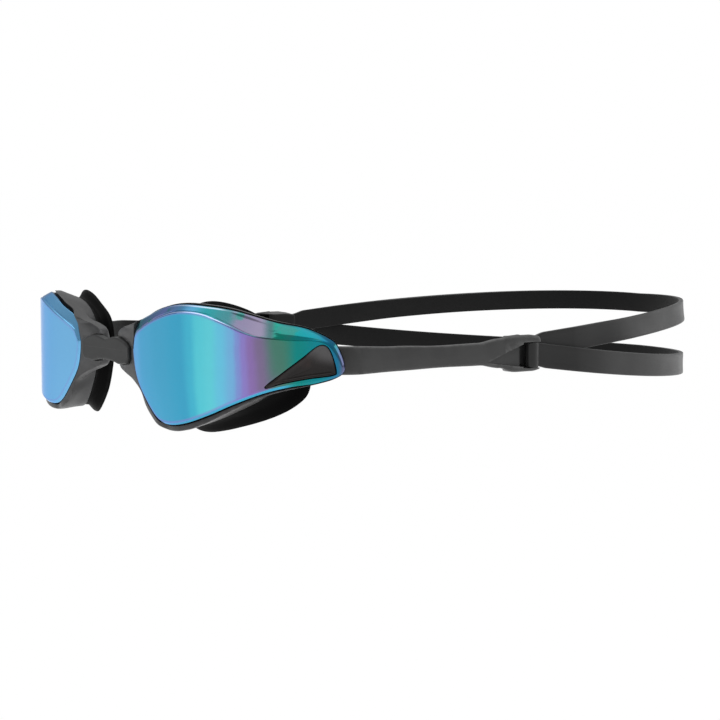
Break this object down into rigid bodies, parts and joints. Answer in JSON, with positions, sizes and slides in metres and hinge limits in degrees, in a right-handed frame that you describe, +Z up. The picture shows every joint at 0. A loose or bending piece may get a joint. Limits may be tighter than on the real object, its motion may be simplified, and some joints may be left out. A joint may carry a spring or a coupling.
{
  "type": "swim goggles",
  "caption": "Swim goggles with mirrored wrap-round lenses, a clip-in nose bridge, hinged side arms with strap adjusters and a split silicone head strap.",
  "frame": {"origin": "centre of the flat front face of the nose bridge", "axes": "+X towards the wearer's left, +Z up, -Y the way the wearer looks"},
  "size_m": [0.1528, 0.2302, 0.0402],
  "materials": {
    "lens": "polished, interference mirror coating",
    "frame": "satin",
    "gasket": "soft matte silicone",
    "bridge": "satin silicone",
    "inlay": "gloss",
    "strap": "satin silicone",
    "arm": "satin",
    "stud": "satin"
  },
  "bodies": {
    "nose_bridge": {"nose_bridge": "bridge"},
    "left_eyecup": {"lens_left": "lens", "frame_left": "frame", "gasket_left": "gasket", "temple_inlay_left": "inlay", "strap_stud_left": "stud"},
    "right_eyecup": {"lens_right": "lens", "frame_right": "frame", "gasket_right": "gasket", "temple_inlay_right": "inlay", "strap_stud_right": "stud"},
    "left_arm": {"side_arm_left": "arm", "adjuster_bar_left": "stud"},
    "right_arm": {"side_arm_right": "arm", "adjuster_bar_right": "stud"},
    "strap_ends": {"strap_tail_left": "strap", "strap_tail_right": "strap"},
    "upper_strap": {"rear_strap_upper": "strap"},
    "lower_strap": {"rear_strap_lower": "strap"}
  },
  "joints": [
    {"name": "left_eyecup_roll", "type": "hinge", "parent": "nose_bridge", "child": "left_eyecup", "pos_m": [0.01, 0.0025, 0], "axis": [0.8765, 0.4809, -0.0202], "range_deg": [-5, 5]},
    {"name": "right_eyecup_roll", "type": "hinge", "parent": "nose_bridge", "child": "right_eyecup", "pos_m": [-0.01, 0.0025, 0], "axis": [0.8765, -0.4809, 0.0202], "range_deg": [-5, 5]},
    {"name": "strap_tilt", "type": "hinge", "parent": "nose_bridge", "child": "left_arm", "pos_m": [0.0665, 0.0335, -0.0013], "axis": [1, 0, 0], "range_deg": [-14, 14]},
    {"name": "strap_tilt_right", "type": "hinge", "parent": "nose_bridge", "child": "right_arm", "pos_m": [-0.0665, 0.0335, -0.0013], "axis": [1, 0, 0], "range_deg": [-14, 14]},
    {"name": "strap_length", "type": "slide", "parent": "left_arm", "child": "strap_ends", "axis": [0, 1, 0], "range_m": [-0.001, 0.02]},
    {"name": "upper_strap_lift", "type": "hinge", "parent": "strap_ends", "child": "upper_strap", "pos_m": [0, 0.118, -0.0022], "axis": [1, 0, 0], "range_deg": [-1.5, 25]},
    {"name": "lower_strap_drop", "type": "hinge", "parent": "strap_ends", "child": "lower_strap", "pos_m": [0, 0.118, -0.0022], "axis": [1, 0, 0], "range_deg": [-25, 1.5]}
  ],
  "couplings": [
    {"joint": "strap_tilt_right", "follows": "strap_tilt", "ratio": 1}
  ]
}
